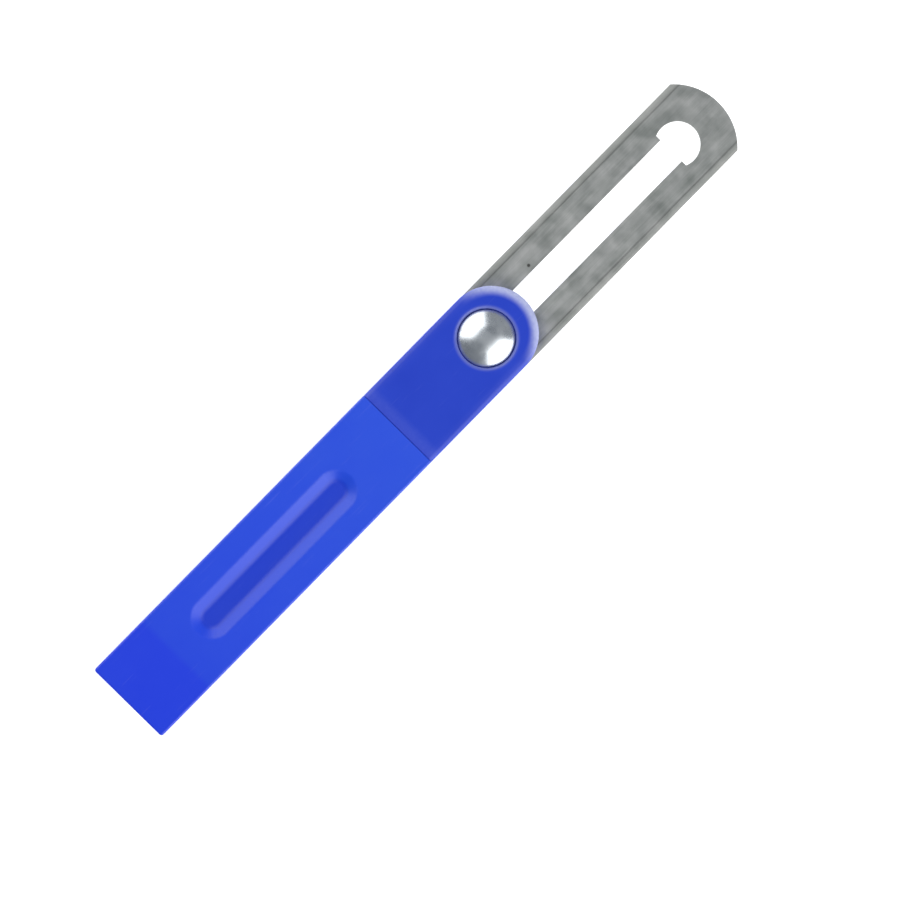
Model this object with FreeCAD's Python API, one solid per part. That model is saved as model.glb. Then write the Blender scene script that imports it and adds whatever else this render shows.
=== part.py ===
"""Sliding T-bevel: a slotted steel blade clamped in a two-part plastic handle.

Millimetres. The tool is closed, with its head side up and its wing nut down.
X runs along the handle, from the butt to the blade's tip. Y runs across it.
Z runs up the pivot bolt. The origin is under the middle of the closed tool,
in the plane that the wing nut's ears reach.
"""
import FreeCAD, Part
import math
import os

from FreeCAD import Vector

# Handle, seen from above
HANDLE_WIDTH = 25.4
BUTT_TO_PIVOT = 137.0
STEP_TO_PIVOT = 34.0          # the grip ends and the nose caps begin at the step
PIVOT_TO_NOSE = 14.6
BUTT_BLOCK = 18.5             # solid stretch behind the blade slot
BUTT_CORNER = 0.8
GRIP_EDGE = 0.6

# Handle, through its thickness
GRIP_THICKNESS = 17.0
SPIGOT_THICKNESS = 12.6       # the halves inside the nose caps
SLOT_SIDE_GAP = 0.2           # between the blade and each half

# Nose caps
CAP_SKIN = 1.5
CAP_EDGE = 1.4
CAP_HOLE_EDGE = 1.1
HEAD_GAP = 0.4                # between the bolt's head and the cap around it

# Thumb recess, one in each half
RECESS_FROM_BUTT = 26.4
RECESS_TO_STEP = 17.6
RECESS_WIDTH = 11.6
RECESS_FLOOR_WIDTH = 4.4
RECESS_DEPTH = 1.8
RECESS_RIM = 0.7              # rounding where the walls meet the face
RECESS_FOOT = 1.2             # rounding where the walls meet the floor

# Blade
BLADE_WIDTH = 25.4
BLADE_THICKNESS = 1.5
BLADE_REACH = 89.0            # from the pivot to the tip, closed
TAIL_GAP = 4.3                # from the blade's tail to the slot's floor, closed
TIP_RADIUS = 17.2
BEVEL_WIDTH = 1.8
BEVEL_DEPTH = 0.3
SLOT_WIDTH = 8.0
SLOT_BEHIND_PIVOT = 36.0
KEYHOLE_RADIUS = 6.15
KEYHOLE_TO_TIP = 9.5
KEYHOLE_SHOULDER = 2.5        # straight shoulders, behind the keyhole's centre

# Pivot bolt, its washer and its wing nut
HEAD_RADIUS = 7.7
HEAD_RIM = 0.6
HEAD_HEIGHT = 3.4
SHOULDER_RADIUS = 5.2
SHANK_RADIUS = 3.0
SHOULDER_FIT = 0.08           # radial, the bearing that the bolt turns in
SHANK_FIT = 0.15
FLAT_GAP = 0.15               # between each flat and the blade's slot
WASHER_RADIUS = 7.0
WASHER_THICKNESS = 1.2
WASHER_FIT = 0.2
NUT_FIT = 0.05
NUT_TRAVEL = 2.0              # two turns of a 1 mm pitch
HUB_TOP_RADIUS = 6.0
HUB_END_RADIUS = 5.0
HUB_HEIGHT = 6.5
EAR_SPAN = 25.0
EAR_THICKNESS = 2.4
EAR_DROP = 1.2                # from the nut's seat to the ear's shoulder
EAR_SAG = 3.6                 # from the nut's seat to the middle of the ear's back
EAR_END_RISE = 3.5
EAR_END_WIDTH = 2.6
EAR_END_BULGE = 0.8
EAR_CROOK_OUT = 1.4           # the hollow between the hub and the ear
EAR_CROOK_DROP = 1.8
NUT_HEIGHT = 11.5             # from the nut's seat to the ends of its ears

# Butt screws, driven from the back
SCREW_SPACING = 13.0
SCREW_RADIUS = 1.45
SCREW_LENGTH = 13.5
SCREW_HEAD_RADIUS = 2.8
SCREW_SINK = 0.3
SCREW_FIT = 0.02
SCREW_CLEARANCE = 0.15

# Places worked out from the sizes above
OVERALL_LENGTH = BUTT_TO_PIVOT + BLADE_REACH
BLADE_LENGTH = OVERALL_LENGTH - BUTT_BLOCK - TAIL_GAP     # 203.2, or 8 inches
BUTT_X = -OVERALL_LENGTH / 2
PIVOT_X = BUTT_X + BUTT_TO_PIVOT
STEP_X = PIVOT_X - STEP_TO_PIVOT
NOSE_X = PIVOT_X + PIVOT_TO_NOSE
SLOT_FLOOR_X = BUTT_X + BUTT_BLOCK
TIP_X = PIVOT_X + BLADE_REACH
HALF_WIDTH = HANDLE_WIDTH / 2
MID_Z = NUT_HEIGHT + WASHER_THICKNESS + SPIGOT_THICKNESS / 2
SLOT_HALF = BLADE_THICKNESS / 2 + SLOT_SIDE_GAP
GRIP_TOP = MID_Z + GRIP_THICKNESS / 2
SPIGOT_TOP = MID_Z + SPIGOT_THICKNESS / 2
SPIGOT_BOTTOM = MID_Z - SPIGOT_THICKNESS / 2
CAP_TOP = SPIGOT_TOP + CAP_SKIN
CAP_HOLE_RADIUS = HEAD_RADIUS + HEAD_GAP
FLAT_HALF = SLOT_WIDTH / 2 - FLAT_GAP
BOLT_END = NUT_HEIGHT - HUB_HEIGHT - NUT_TRAVEL
BEYOND = 5.0                  # how far a cutter runs past the piece it cuts


def box(x_span, y_span, z_span):
    """A box between two values on each axis."""
    size = [high - low for low, high in (x_span, y_span, z_span)]
    return Part.makeBox(*size, Vector(x_span[0], y_span[0], z_span[0]))


def disc(radius, z_low, z_high, x=PIVOT_X, y=0.0):
    """An upright cylinder, on the pivot's axis unless told otherwise."""
    return Part.makeCylinder(radius, z_high - z_low, Vector(x, y, z_low))


def flipped(shape):
    """The same shape for the back of the tool."""
    return shape.mirror(Vector(0, 0, MID_Z), Vector(0, 0, 1))


def prism(edges, direction):
    """A closed outline of edges, extruded."""
    return Part.Face(Part.Wire(edges)).extrude(direction)


def bullet(x_start, inset, z_low, z_high):
    """The nose in plan: two straight sides and a half-round end."""
    radius = HALF_WIDTH - inset
    centre_x = NOSE_X - HALF_WIDTH
    start_low = Vector(x_start, -radius, z_low)
    start_high = Vector(x_start, radius, z_low)
    end_low = Vector(centre_x, -radius, z_low)
    end_high = Vector(centre_x, radius, z_low)
    far = Vector(centre_x + radius, 0, z_low)
    edges = [
        Part.LineSegment(start_low, end_low).toShape(),
        Part.Arc(end_low, far, end_high).toShape(),
        Part.LineSegment(end_high, start_high).toShape(),
        Part.LineSegment(start_high, start_low).toShape(),
    ]
    return prism(edges, Vector(0, 0, z_high - z_low))


def pill(radius, x_start, x_end, z):
    """A round-ended outline about the handle's middle line."""
    low_start = Vector(x_start + radius, -radius, z)
    low_end = Vector(x_end - radius, -radius, z)
    high_end = Vector(x_end - radius, radius, z)
    high_start = Vector(x_start + radius, radius, z)
    return Part.Wire([
        Part.LineSegment(low_start, low_end).toShape(),
        Part.Arc(low_end, Vector(x_end, 0, z), high_end).toShape(),
        Part.LineSegment(high_end, high_start).toShape(),
        Part.Arc(high_start, Vector(x_start, 0, z), low_start).toShape(),
    ])


def edges_at(shape, test):
    """The edges whose middle point passes a test."""
    found = []
    for edge in shape.Edges:
        middle = edge.valueAt((edge.FirstParameter + edge.LastParameter) / 2)
        if test(middle):
            found.append(edge)
    return found


def near(a, b):
    """Two places that are the same, within a tenth of a millimetre."""
    return abs(a - b) < 0.1


def with_thumb_recess(half):
    """Cut a shallow trough with sloping walls in the face, and round its edges."""
    slope = (RECESS_WIDTH - RECESS_FLOOR_WIDTH) / 2
    above = slope * BEYOND / RECESS_DEPTH
    x_start = BUTT_X + RECESS_FROM_BUTT
    x_end = STEP_X - RECESS_TO_STEP
    floor_z = GRIP_TOP - RECESS_DEPTH
    floor = pill(RECESS_FLOOR_WIDTH / 2, x_start + slope, x_end - slope, floor_z)
    mouth = pill(RECESS_WIDTH / 2 + above, x_start - above, x_end + above, GRIP_TOP + BEYOND)
    half = half.cut(Part.makeLoft([floor, mouth], True, True))
    half = half.makeFillet(RECESS_FOOT, edges_at(half, lambda p: near(p.z, floor_z)))
    reach = RECESS_WIDTH / 2 + RECESS_RIM
    rim = edges_at(half, lambda p: (
        near(p.z, GRIP_TOP) and abs(p.y) < reach and SLOT_FLOOR_X < p.x < x_end + RECESS_RIM))
    return half.makeFillet(RECESS_RIM, rim)


def grip_block():
    """One half's square grip, from the butt to the step."""
    grip = box((BUTT_X, STEP_X), (-HALF_WIDTH, HALF_WIDTH), (MID_Z, GRIP_TOP))
    corners = edges_at(grip, lambda p: near(p.x, BUTT_X) and near(abs(p.y), HALF_WIDTH))
    grip = grip.makeFillet(BUTT_CORNER, corners)
    rim = edges_at(grip, lambda p: near(p.z, GRIP_TOP) and not near(p.x, STEP_X))
    return grip.makeFillet(GRIP_EDGE, rim)


def bare_half():
    """What the two halves share: grip, spigot, blade slot and thumb recess."""
    spigot = bullet(STEP_X - BEYOND, CAP_SKIN, MID_Z, SPIGOT_TOP)
    half = grip_block().fuse(spigot).removeSplitter()
    slot = box(
        (SLOT_FLOOR_X, NOSE_X + BEYOND),
        (-HANDLE_WIDTH, HANDLE_WIDTH),
        (MID_Z - BEYOND, MID_Z + SLOT_HALF),
    )
    return with_thumb_recess(half.cut(slot))


def screw_places():
    """The middle of each butt screw, on X and Y."""
    x = BUTT_X + BUTT_BLOCK / 2
    return [(x, -SCREW_SPACING / 2), (x, SCREW_SPACING / 2)]


def front_half():
    """The half under the bolt's head, with the bearing and the pilot holes."""
    half = bare_half()
    half = half.cut(disc(SHOULDER_RADIUS + SHOULDER_FIT, MID_Z, CAP_TOP + BEYOND))
    tip = 2 * MID_Z - GRIP_TOP + SCREW_SINK + SCREW_LENGTH
    for x, y in screw_places():
        half = half.cut(disc(SCREW_RADIUS + SCREW_FIT, MID_Z - BEYOND, tip + SCREW_FIT, x, y))
    return half


def screw(x, y):
    """A countersunk self-tapping screw, head down in the back half."""
    head_z = 2 * MID_Z - GRIP_TOP + SCREW_SINK
    cone_height = SCREW_HEAD_RADIUS - SCREW_RADIUS
    at = Vector(x, y, head_z)
    head = Part.makeCone(SCREW_HEAD_RADIUS, SCREW_RADIUS, cone_height, at)
    return head.fuse(disc(SCREW_RADIUS, head_z, head_z + SCREW_LENGTH, x, y)).removeSplitter()


def back_half():
    """The half over the wing nut, with the shank hole and the screw holes."""
    half = flipped(bare_half())
    half = half.cut(disc(SHANK_RADIUS + SHANK_FIT, SPIGOT_BOTTOM - BEYOND, MID_Z))
    back = 2 * MID_Z - GRIP_TOP
    seat = SCREW_HEAD_RADIUS + SCREW_CLEARANCE
    for x, y in screw_places():
        half = half.cut(disc(SCREW_RADIUS + SCREW_CLEARANCE, back - BEYOND, MID_Z + BEYOND, x, y))
        half = half.cut(disc(seat, back - BEYOND, back + SCREW_SINK, x, y))
        sink_height = SCREW_HEAD_RADIUS - SCREW_RADIUS
        at = Vector(x, y, back + SCREW_SINK)
        half = half.cut(Part.makeCone(seat, SCREW_RADIUS + SCREW_CLEARANCE, sink_height, at))
    return half


def nose_cap():
    """The darker skin over one half's spigot, open around the bolt's head."""
    cap = bullet(STEP_X, 0.0, MID_Z + SLOT_HALF, CAP_TOP)
    rim = edges_at(cap, lambda p: near(p.z, CAP_TOP) and not near(p.x, STEP_X))
    cap = cap.makeFillet(CAP_EDGE, rim)
    cap = cap.cut(bullet(STEP_X - BEYOND, CAP_SKIN, MID_Z - BEYOND, SPIGOT_TOP))
    cap = cap.cut(disc(CAP_HOLE_RADIUS, SPIGOT_TOP - BEYOND, CAP_TOP + BEYOND))
    mouth = edges_at(cap, lambda p: (
        near(p.z, CAP_TOP) and near(math.hypot(p.x - PIVOT_X, p.y), CAP_HOLE_RADIUS)))
    return cap.makeFillet(CAP_HOLE_EDGE, mouth)


def blade_section():
    """The blade's bar: flat faces, with a shallow bevel along each long edge."""
    y_edge = BLADE_WIDTH / 2
    y_flat = y_edge - BEVEL_WIDTH
    z_flat = BLADE_THICKNESS / 2
    z_edge = z_flat - BEVEL_DEPTH
    outline = [
        (y_edge, -z_edge), (y_edge, z_edge), (y_flat, z_flat), (-y_flat, z_flat),
        (-y_edge, z_edge), (-y_edge, -z_edge), (-y_flat, -z_flat), (y_flat, -z_flat),
    ]
    tail_x = TIP_X - BLADE_LENGTH
    corners = [Vector(tail_x, y, MID_Z + z) for y, z in outline]
    wire = Part.makePolygon(corners + corners[:1])
    return Part.Face(wire).extrude(Vector(BLADE_LENGTH, 0, 0))


def blade_outline():
    """The blade in plan: an arc at the tip, a 45 degree cut at the tail."""
    half = BLADE_WIDTH / 2
    tail_x = TIP_X - BLADE_LENGTH
    chord_x = TIP_X - TIP_RADIUS + math.sqrt(TIP_RADIUS ** 2 - half ** 2)
    z = MID_Z - BLADE_THICKNESS
    tail_long = Vector(tail_x, half, z)
    tail_short = Vector(tail_x + BLADE_WIDTH, -half, z)
    tip_low = Vector(chord_x, -half, z)
    tip_high = Vector(chord_x, half, z)
    edges = [
        Part.LineSegment(tail_long, tail_short).toShape(),
        Part.LineSegment(tail_short, tip_low).toShape(),
        Part.Arc(tip_low, Vector(TIP_X, 0, z), tip_high).toShape(),
        Part.LineSegment(tip_high, tail_long).toShape(),
    ]
    return prism(edges, Vector(0, 0, 2 * BLADE_THICKNESS))


def blade_slot():
    """The cutter for the long slot and the keyhole at its outer end."""
    keyhole_x = TIP_X - KEYHOLE_TO_TIP - KEYHOLE_RADIUS
    z_span = (MID_Z - BLADE_THICKNESS, MID_Z + BLADE_THICKNESS)
    half = SLOT_WIDTH / 2
    inner_x = PIVOT_X - SLOT_BEHIND_PIVOT + half
    track = box((inner_x, keyhole_x), (-half, half), z_span)
    inner_end = disc(half, *z_span, x=inner_x)
    keyhole = disc(KEYHOLE_RADIUS, *z_span, x=keyhole_x)
    behind = box(
        (keyhole_x - 2 * KEYHOLE_RADIUS, keyhole_x - KEYHOLE_SHOULDER),
        (-2 * KEYHOLE_RADIUS, 2 * KEYHOLE_RADIUS),
        z_span,
    )
    return track.fuse(inner_end).fuse(keyhole.cut(behind)).removeSplitter()


def blade():
    """The slotted blade, through the pivot and deep in the handle."""
    return blade_section().common(blade_outline()).cut(blade_slot())


def pivot_bolt():
    """Domed head, round shoulder, two flats in the blade's slot, then the shank."""
    cap_height = HEAD_HEIGHT - HEAD_RIM
    sphere_radius = (HEAD_RADIUS ** 2 + cap_height ** 2) / (2 * cap_height)
    head_top = SPIGOT_TOP + HEAD_HEIGHT
    ball = Part.makeSphere(sphere_radius, Vector(PIVOT_X, 0, head_top - sphere_radius))
    head = disc(HEAD_RADIUS, SPIGOT_TOP, head_top).common(ball)
    shoulder = disc(SHOULDER_RADIUS, MID_Z - SLOT_HALF, SPIGOT_TOP)
    for side in (-1, 1):
        y_span = sorted((side * FLAT_HALF, side * 2 * SHOULDER_RADIUS))
        x_span = (PIVOT_X - 2 * SHOULDER_RADIUS, PIVOT_X + 2 * SHOULDER_RADIUS)
        shoulder = shoulder.cut(box(x_span, y_span, (MID_Z - BEYOND, MID_Z + SLOT_HALF)))
    shank = disc(SHANK_RADIUS, BOLT_END, MID_Z)
    return head.fuse(shoulder).fuse(shank).removeSplitter()


def washer():
    """A plain washer against the back half, inside the cap's opening."""
    ring = disc(WASHER_RADIUS, NUT_HEIGHT, NUT_HEIGHT + WASHER_THICKNESS)
    return ring.cut(disc(SHANK_RADIUS + WASHER_FIT, NUT_HEIGHT - BEYOND, SPIGOT_BOTTOM + BEYOND))


def ear(side):
    """One ear of the wing nut, flaring out and down from the hub."""
    hub_end_z = NUT_HEIGHT - HUB_HEIGHT
    root_y = HUB_END_RADIUS - EAR_THICKNESS / 2
    tip_y = EAR_SPAN / 2
    x = PIVOT_X - EAR_THICKNESS / 2

    def at(y, z):
        return Vector(x, side * y, z)

    top_root = at(root_y, NUT_HEIGHT - EAR_DROP)
    top_bend = at((root_y + tip_y) / 2, NUT_HEIGHT - EAR_SAG)
    end_high = at(tip_y, EAR_END_RISE)
    end_bulge = at(tip_y - EAR_END_BULGE, EAR_END_BULGE)
    end_low = at(tip_y - EAR_END_WIDTH, 0.0)
    crook = at(HUB_END_RADIUS + EAR_CROOK_OUT, hub_end_z - EAR_CROOK_DROP)
    low_root = at(root_y, hub_end_z)
    edges = [
        Part.Arc(top_root, top_bend, end_high).toShape(),
        Part.Arc(end_high, end_bulge, end_low).toShape(),
        Part.Arc(end_low, crook, low_root).toShape(),
        Part.LineSegment(low_root, top_root).toShape(),
    ]
    return prism(edges, Vector(EAR_THICKNESS, 0, 0))


def wing_nut():
    """A tapered hub with two ears, bored for the bolt."""
    hub_end_z = NUT_HEIGHT - HUB_HEIGHT
    base = Vector(PIVOT_X, 0, hub_end_z)
    nut = Part.makeCone(HUB_END_RADIUS, HUB_TOP_RADIUS, HUB_HEIGHT, base)
    nut = nut.fuse([ear(-1), ear(1)])
    return nut.cut(disc(SHANK_RADIUS + NUT_FIT, -BEYOND, NUT_HEIGHT + BEYOND)).removeSplitter()


def butt_screws():
    """The two screws that hold the halves together behind the blade slot."""
    return Part.makeCompound([screw(x, y) for x, y in screw_places()])


PIECES = {
    "front_half": front_half,
    "back_half": back_half,
    "front_nose_cap": nose_cap,
    "back_nose_cap": lambda: flipped(nose_cap()),
    "butt_screws": butt_screws,
    "blade": blade,
    "pivot_bolt": pivot_bolt,
    "washer": washer,
    "wing_nut": wing_nut,
}

os.makedirs("parts", exist_ok=True)
for name, make in PIECES.items():
    shape = make()
    shape.exportStep(f"parts/{name}.step")
    limits = shape.BoundBox
    print(
        f"{name}: {len(shape.Solids)} solid(s), valid {shape.isValid()}, {shape.Volume:.1f} mm3,"
        f" x {limits.XMin:.2f}..{limits.XMax:.2f}, y {limits.YMin:.2f}..{limits.YMax:.2f},"
        f" z {limits.ZMin:.2f}..{limits.ZMax:.2f}"
    )
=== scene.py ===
# %% [markdown]
# # A sliding T-bevel
#
# This lesson finishes a carpenter's sliding bevel: a blue plastic handle, a slotted steel
# blade, and a domed bolt with a wing nut that clamps them. A CAD model already fixes where
# every piece is and how it moves. Here each piece is modelled again with the small
# roundings, threads and wear that catch light, and given a finish made of shader nodes.
# The CAD pieces stay as the measure: each new piece takes its size from theirs.

import bmesh
import bpy
import math
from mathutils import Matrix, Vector


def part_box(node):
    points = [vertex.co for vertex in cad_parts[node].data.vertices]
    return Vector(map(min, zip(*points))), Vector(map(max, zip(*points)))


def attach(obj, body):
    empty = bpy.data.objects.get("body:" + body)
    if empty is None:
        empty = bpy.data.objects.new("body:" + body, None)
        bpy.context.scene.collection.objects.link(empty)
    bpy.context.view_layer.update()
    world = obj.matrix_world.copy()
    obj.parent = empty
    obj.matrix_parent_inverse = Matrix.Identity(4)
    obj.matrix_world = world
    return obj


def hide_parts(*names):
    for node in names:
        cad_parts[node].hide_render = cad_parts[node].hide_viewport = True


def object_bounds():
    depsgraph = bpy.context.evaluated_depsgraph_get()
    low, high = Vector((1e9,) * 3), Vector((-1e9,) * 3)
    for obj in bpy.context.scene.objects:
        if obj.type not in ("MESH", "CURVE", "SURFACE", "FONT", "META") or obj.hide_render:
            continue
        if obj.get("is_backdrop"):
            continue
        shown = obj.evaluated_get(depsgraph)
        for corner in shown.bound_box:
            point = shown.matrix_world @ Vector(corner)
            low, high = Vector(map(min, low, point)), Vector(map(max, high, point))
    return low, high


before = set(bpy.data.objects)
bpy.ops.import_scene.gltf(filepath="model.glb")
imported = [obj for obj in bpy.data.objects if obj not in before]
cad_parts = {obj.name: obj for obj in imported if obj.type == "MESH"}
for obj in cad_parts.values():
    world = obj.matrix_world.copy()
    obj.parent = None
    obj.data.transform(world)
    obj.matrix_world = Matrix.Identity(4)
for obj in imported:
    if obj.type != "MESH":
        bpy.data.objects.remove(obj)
cad_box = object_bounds()
MM = 0.001

# %% [markdown]
# ## Places and sizes
#
# All lengths are in metres. The box of a CAD piece gives most of them. What a box can't
# tell, such as a rounding or the width of the thumb recess, is named here once.

# %% Places read from the frame
half_low, half_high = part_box("front_half")
cap_low, cap_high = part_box("front_nose_cap")
blade_low, blade_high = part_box("blade")
bolt_low, bolt_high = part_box("pivot_bolt")
washer_low, washer_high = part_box("washer")
nut_low, nut_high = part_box("wing_nut")
screws_low, screws_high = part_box("butt_screws")

butt_x = half_low.x
step_x = cap_low.x
nose_x = cap_high.x
tip_x = blade_high.x
tail_x = blade_low.x
pivot_x = (bolt_low.x + bolt_high.x) / 2
half_width = half_high.y
mid_z = half_low.z
grip_top = half_high.z
slot_top = cap_low.z
cap_top = cap_high.z
spigot_top = mid_z + (mid_z - washer_high.z)
head_radius = bolt_high.x - pivot_x
print(f"handle {(nose_x - butt_x) / MM:.1f} mm, blade {(tip_x - tail_x) / MM:.1f} mm")

# %% Sizes that a box can't tell
GRIP_EDGE = 0.6 * MM
BUTT_CORNER = 0.8 * MM
BUTT_BLOCK = 18.5 * MM
CAP_EDGE = 1.4 * MM
CAP_SKIN = cap_top - spigot_top
CAP_SEAM_EDGE = 0.2 * MM
GRIP_SEAM_EDGE = 0.15 * MM
HEAD_GAP = 0.25 * MM          # between the bolt's head and the cap's hole
DISH_RADIUS = head_radius + HEAD_GAP
DISH_ROLL = 0.8 * MM
BROKEN_EDGE = 0.1 * MM        # how far a machined corner is taken back
RECESS_START = butt_x + 26.4 * MM
RECESS_END = step_x - 17.6 * MM
RECESS_HALF_WIDTH = 5.8 * MM
RECESS_FLOOR_HALF = 2.2 * MM
RECESS_DEPTH = 1.8 * MM
BEVEL_WIDTH = 1.8 * MM
BEVEL_DEPTH = 0.3 * MM
DEBURR = 0.12 * MM
TIP_RADIUS = 17.2 * MM
SLOT_HALF = 4.0 * MM
SLOT_BEHIND_PIVOT = 36.0 * MM
KEYHOLE_RADIUS = 6.15 * MM
KEYHOLE_TO_TIP = 9.5 * MM
KEYHOLE_X = tip_x - KEYHOLE_TO_TIP - KEYHOLE_RADIUS
KEYHOLE_SHOULDER = 2.5 * MM
SHOULDER_RADIUS = 5.2 * MM
SHANK_RADIUS = 3.0 * MM
THREAD_PITCH = 1.0 * MM
SCREW_RADIUS = 1.45 * MM
SCREW_HEAD_RADIUS = 2.8 * MM
SCREW_PITCH = 1.1 * MM
ROUND = 128                   # steps round a full turn on what is seen close up
BEYOND = 4.0 * MM             # how far a cutter runs past the piece it cuts

# %% [markdown]
# ## A small set of hand tools
#
# Blender's operators act on everything that is selected. So every tool below first
# deselects all, then selects the one piece that it works on.

# %% Selecting
def deselect():
    """Leave edit mode and deselect every object."""
    if bpy.context.object and bpy.context.object.mode != "OBJECT":
        bpy.ops.object.mode_set(mode="OBJECT")
    bpy.ops.object.select_all(action="DESELECT")


def take(piece):
    """Make one piece the only selected and active object."""
    deselect()
    piece.select_set(True)
    bpy.context.view_layer.objects.active = piece


def open_with(piece, kind, test):
    """Open a piece in edit mode, with the vertices, edges or faces that pass a test selected."""
    take(piece)
    bpy.ops.object.mode_set(mode="EDIT")
    bpy.ops.mesh.select_mode(type=kind)
    bpy.ops.mesh.select_all(action="DESELECT")
    mesh = bmesh.from_edit_mesh(piece.data)
    for element in {"VERT": mesh.verts, "EDGE": mesh.edges, "FACE": mesh.faces}[kind]:
        element.select_set(bool(test(element)))
    mesh.select_flush_mode()
    bmesh.update_edit_mesh(piece.data)


def close():
    """Go back to object mode."""
    bpy.ops.object.mode_set(mode="OBJECT")


def middle(edge):
    """The middle point of an edge."""
    return (edge.verts[0].co + edge.verts[1].co) / 2


def same(a, b):
    """Two places within a hundredth of a millimetre."""
    return abs(a - b) < 0.01 * MM


# %% Primitives, modifiers and booleans
def settle(name):
    """Name the new primitive and put its place and size in its mesh."""
    piece = bpy.context.object
    piece.name = name
    bpy.ops.object.transform_apply(location=True, rotation=True, scale=True)
    return piece


def block(name, low, high):
    """A box between two corners."""
    deselect()
    low, high = Vector(low), Vector(high)
    bpy.ops.mesh.primitive_cube_add(size=1, location=(low + high) / 2, scale=high - low)
    return settle(name)


def rod(name, radius, z_low, z_high, x=pivot_x, y=0.0, steps=ROUND):
    """An upright cylinder."""
    deselect()
    at = (x, y, (z_low + z_high) / 2)
    bpy.ops.mesh.primitive_cylinder_add(
        vertices=steps, radius=radius, depth=z_high - z_low, location=at)
    return settle(name)


def modify(piece, kind, **settings):
    """Add a modifier with its settings and apply it at once."""
    take(piece)
    modifier = piece.modifiers.new(kind.title(), kind)
    for key, value in settings.items():
        setattr(modifier, key, value)
    bpy.ops.object.modifier_apply(modifier=modifier.name)
    return piece


def combine(piece, other, operation):
    """Boolean a second piece into the first, and throw the second away."""
    modify(piece, "BOOLEAN", object=other, operation=operation, solver="EXACT")
    bpy.data.objects.remove(other)
    return piece


def cut(piece, cutter):
    """Take the cutter's shape out of the piece."""
    return combine(piece, cutter, "DIFFERENCE")


def weld(piece, other):
    """Make two pieces one closed shape."""
    return combine(piece, other, "UNION")


def clean(piece):
    """Merge doubled vertices and point every face outwards."""
    open_with(piece, "VERT", lambda v: True)
    bpy.ops.mesh.remove_doubles(threshold=0.001 * MM)
    bpy.ops.mesh.normals_make_consistent(inside=False)
    close()
    return piece


def slice_off(piece, at, facing):
    """Cut a piece along a plane, throw away the side that the plane faces, and close the cut."""
    open_with(piece, "FACE", lambda f: True)
    bpy.ops.mesh.bisect(
        plane_co=at, plane_no=facing, use_fill=True, clear_outer=True, threshold=0.0001 * MM)
    close()
    return piece


def smooth(piece, degrees=32):
    """Shade soft below an angle, and let the large faces set the direction of the light."""
    take(piece)
    bpy.ops.object.shade_smooth_by_angle(angle=math.radians(degrees))
    return modify(piece, "WEIGHTED_NORMAL", keep_sharp=True, weight=80)


def outline(name, points):
    """Draw a line through points: one vertex, extruded from point to point."""
    deselect()
    bpy.ops.mesh.primitive_plane_add(size=MM, location=points[0])
    piece = settle(name)
    open_with(piece, "VERT", lambda v: True)
    bpy.ops.mesh.merge(type="CENTER")
    for here, there in zip(points, points[1:]):
        bpy.ops.mesh.extrude_vertices_move(
            TRANSFORM_OT_translate={"value": [b - a for a, b in zip(here, there)]})
    close()
    return piece


def lathe(name, profile, x=pivot_x, y=0.0, steps=ROUND):
    """Spin a profile of (radius, height) points about an upright line."""
    piece = outline(name, [(x + radius, y, z) for radius, z in profile])
    open_with(piece, "VERT", lambda v: True)
    bpy.ops.mesh.spin(steps=steps, angle=math.tau, center=(x, y, 0), axis=(0, 0, 1))
    close()
    return clean(piece)


def arc(centre, radius, start, end, count):
    """Points on an arc, from one angle to another in degrees."""
    points = []
    for i in range(count + 1):
        angle = math.radians(start + (end - start) * i / count)
        points.append((centre[0] + radius * math.cos(angle), centre[1] + radius * math.sin(angle)))
    return points


def flip_to_back(piece):
    """Mirror a piece through the middle plane of the handle."""
    open_with(piece, "VERT", lambda v: True)
    bpy.ops.transform.resize(value=(1, 1, -1), center_override=(0, 0, mid_z))
    close()
    return clean(piece)


# %% [markdown]
# ## The nose in plan
#
# Seen from above, the nose is a bullet: straight sides and a half-round end. A cylinder
# whose back half is pulled back, then sliced square, gives that outline in two moves, and
# the sides stay exactly tangent to the round.

# %% Bullet
def bullet(name, inset, x_start, z_low, z_high):
    """A bullet-shaped slab, set in from the nose's outline."""
    centre_x = nose_x - half_width
    piece = rod(name, half_width - inset, z_low, z_high, x=centre_x)
    open_with(piece, "VERT", lambda v: v.co.x < centre_x - 0.01 * MM)
    bpy.ops.transform.translate(value=(x_start - centre_x - BEYOND, 0, 0))
    close()
    return slice_off(piece, (x_start, 0, 0), (-1, 0, 0))


# %% [markdown]
# ## The thumb recess
#
# The recess is a long trough with soft walls. A round bowl is spun first, with the wall's
# section as its profile: a flat floor, a concave foot, a slope, and a lip that flares out
# level with the face. Then its two halves are pulled apart, which makes the trough.

# %% Recess cutter
def recess_cutter(name, face_z):
    """The trough as a solid, ready to be cut out of a face at face_z."""
    lip, foot = 2.0 * MM, 2.6 * MM
    ease = 0.4 * MM           # how far both roundings reach past the straight wall's ends
    foot_at, lip_at = RECESS_FLOOR_HALF - ease, RECESS_HALF_WIDTH + ease
    run, rise, both = lip_at - foot_at, RECESS_DEPTH, lip + foot
    # the slope of the straight stretch that touches both arcs
    slope = math.degrees(math.asin(both / math.hypot(run, both - rise))
                         - math.atan2(both - rise, run))
    floor_z = face_z - RECESS_DEPTH
    foot_arc = arc((foot_at, floor_z + foot), foot, -90, -90 + slope, 8)
    lip_arc = arc((lip_at, face_z - lip), lip, 90 + slope, 90, 8)
    top = face_z + BEYOND
    profile = [(0, floor_z), *foot_arc, *lip_arc, (lip_at + 0.05 * MM, top), (0, top)]
    mid_x = (RECESS_START + RECESS_END) / 2
    stretch = (RECESS_END - RECESS_START) / 2 - RECESS_HALF_WIDTH
    cutter = lathe(name, profile, x=mid_x, steps=ROUND // 2)
    for side in (-1, 1):
        open_with(cutter, "VERT", lambda v: side * (v.co.x - mid_x) > 0.01 * MM)
        bpy.ops.transform.translate(value=(side * stretch, 0, 0))
        close()
    return cutter


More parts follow.
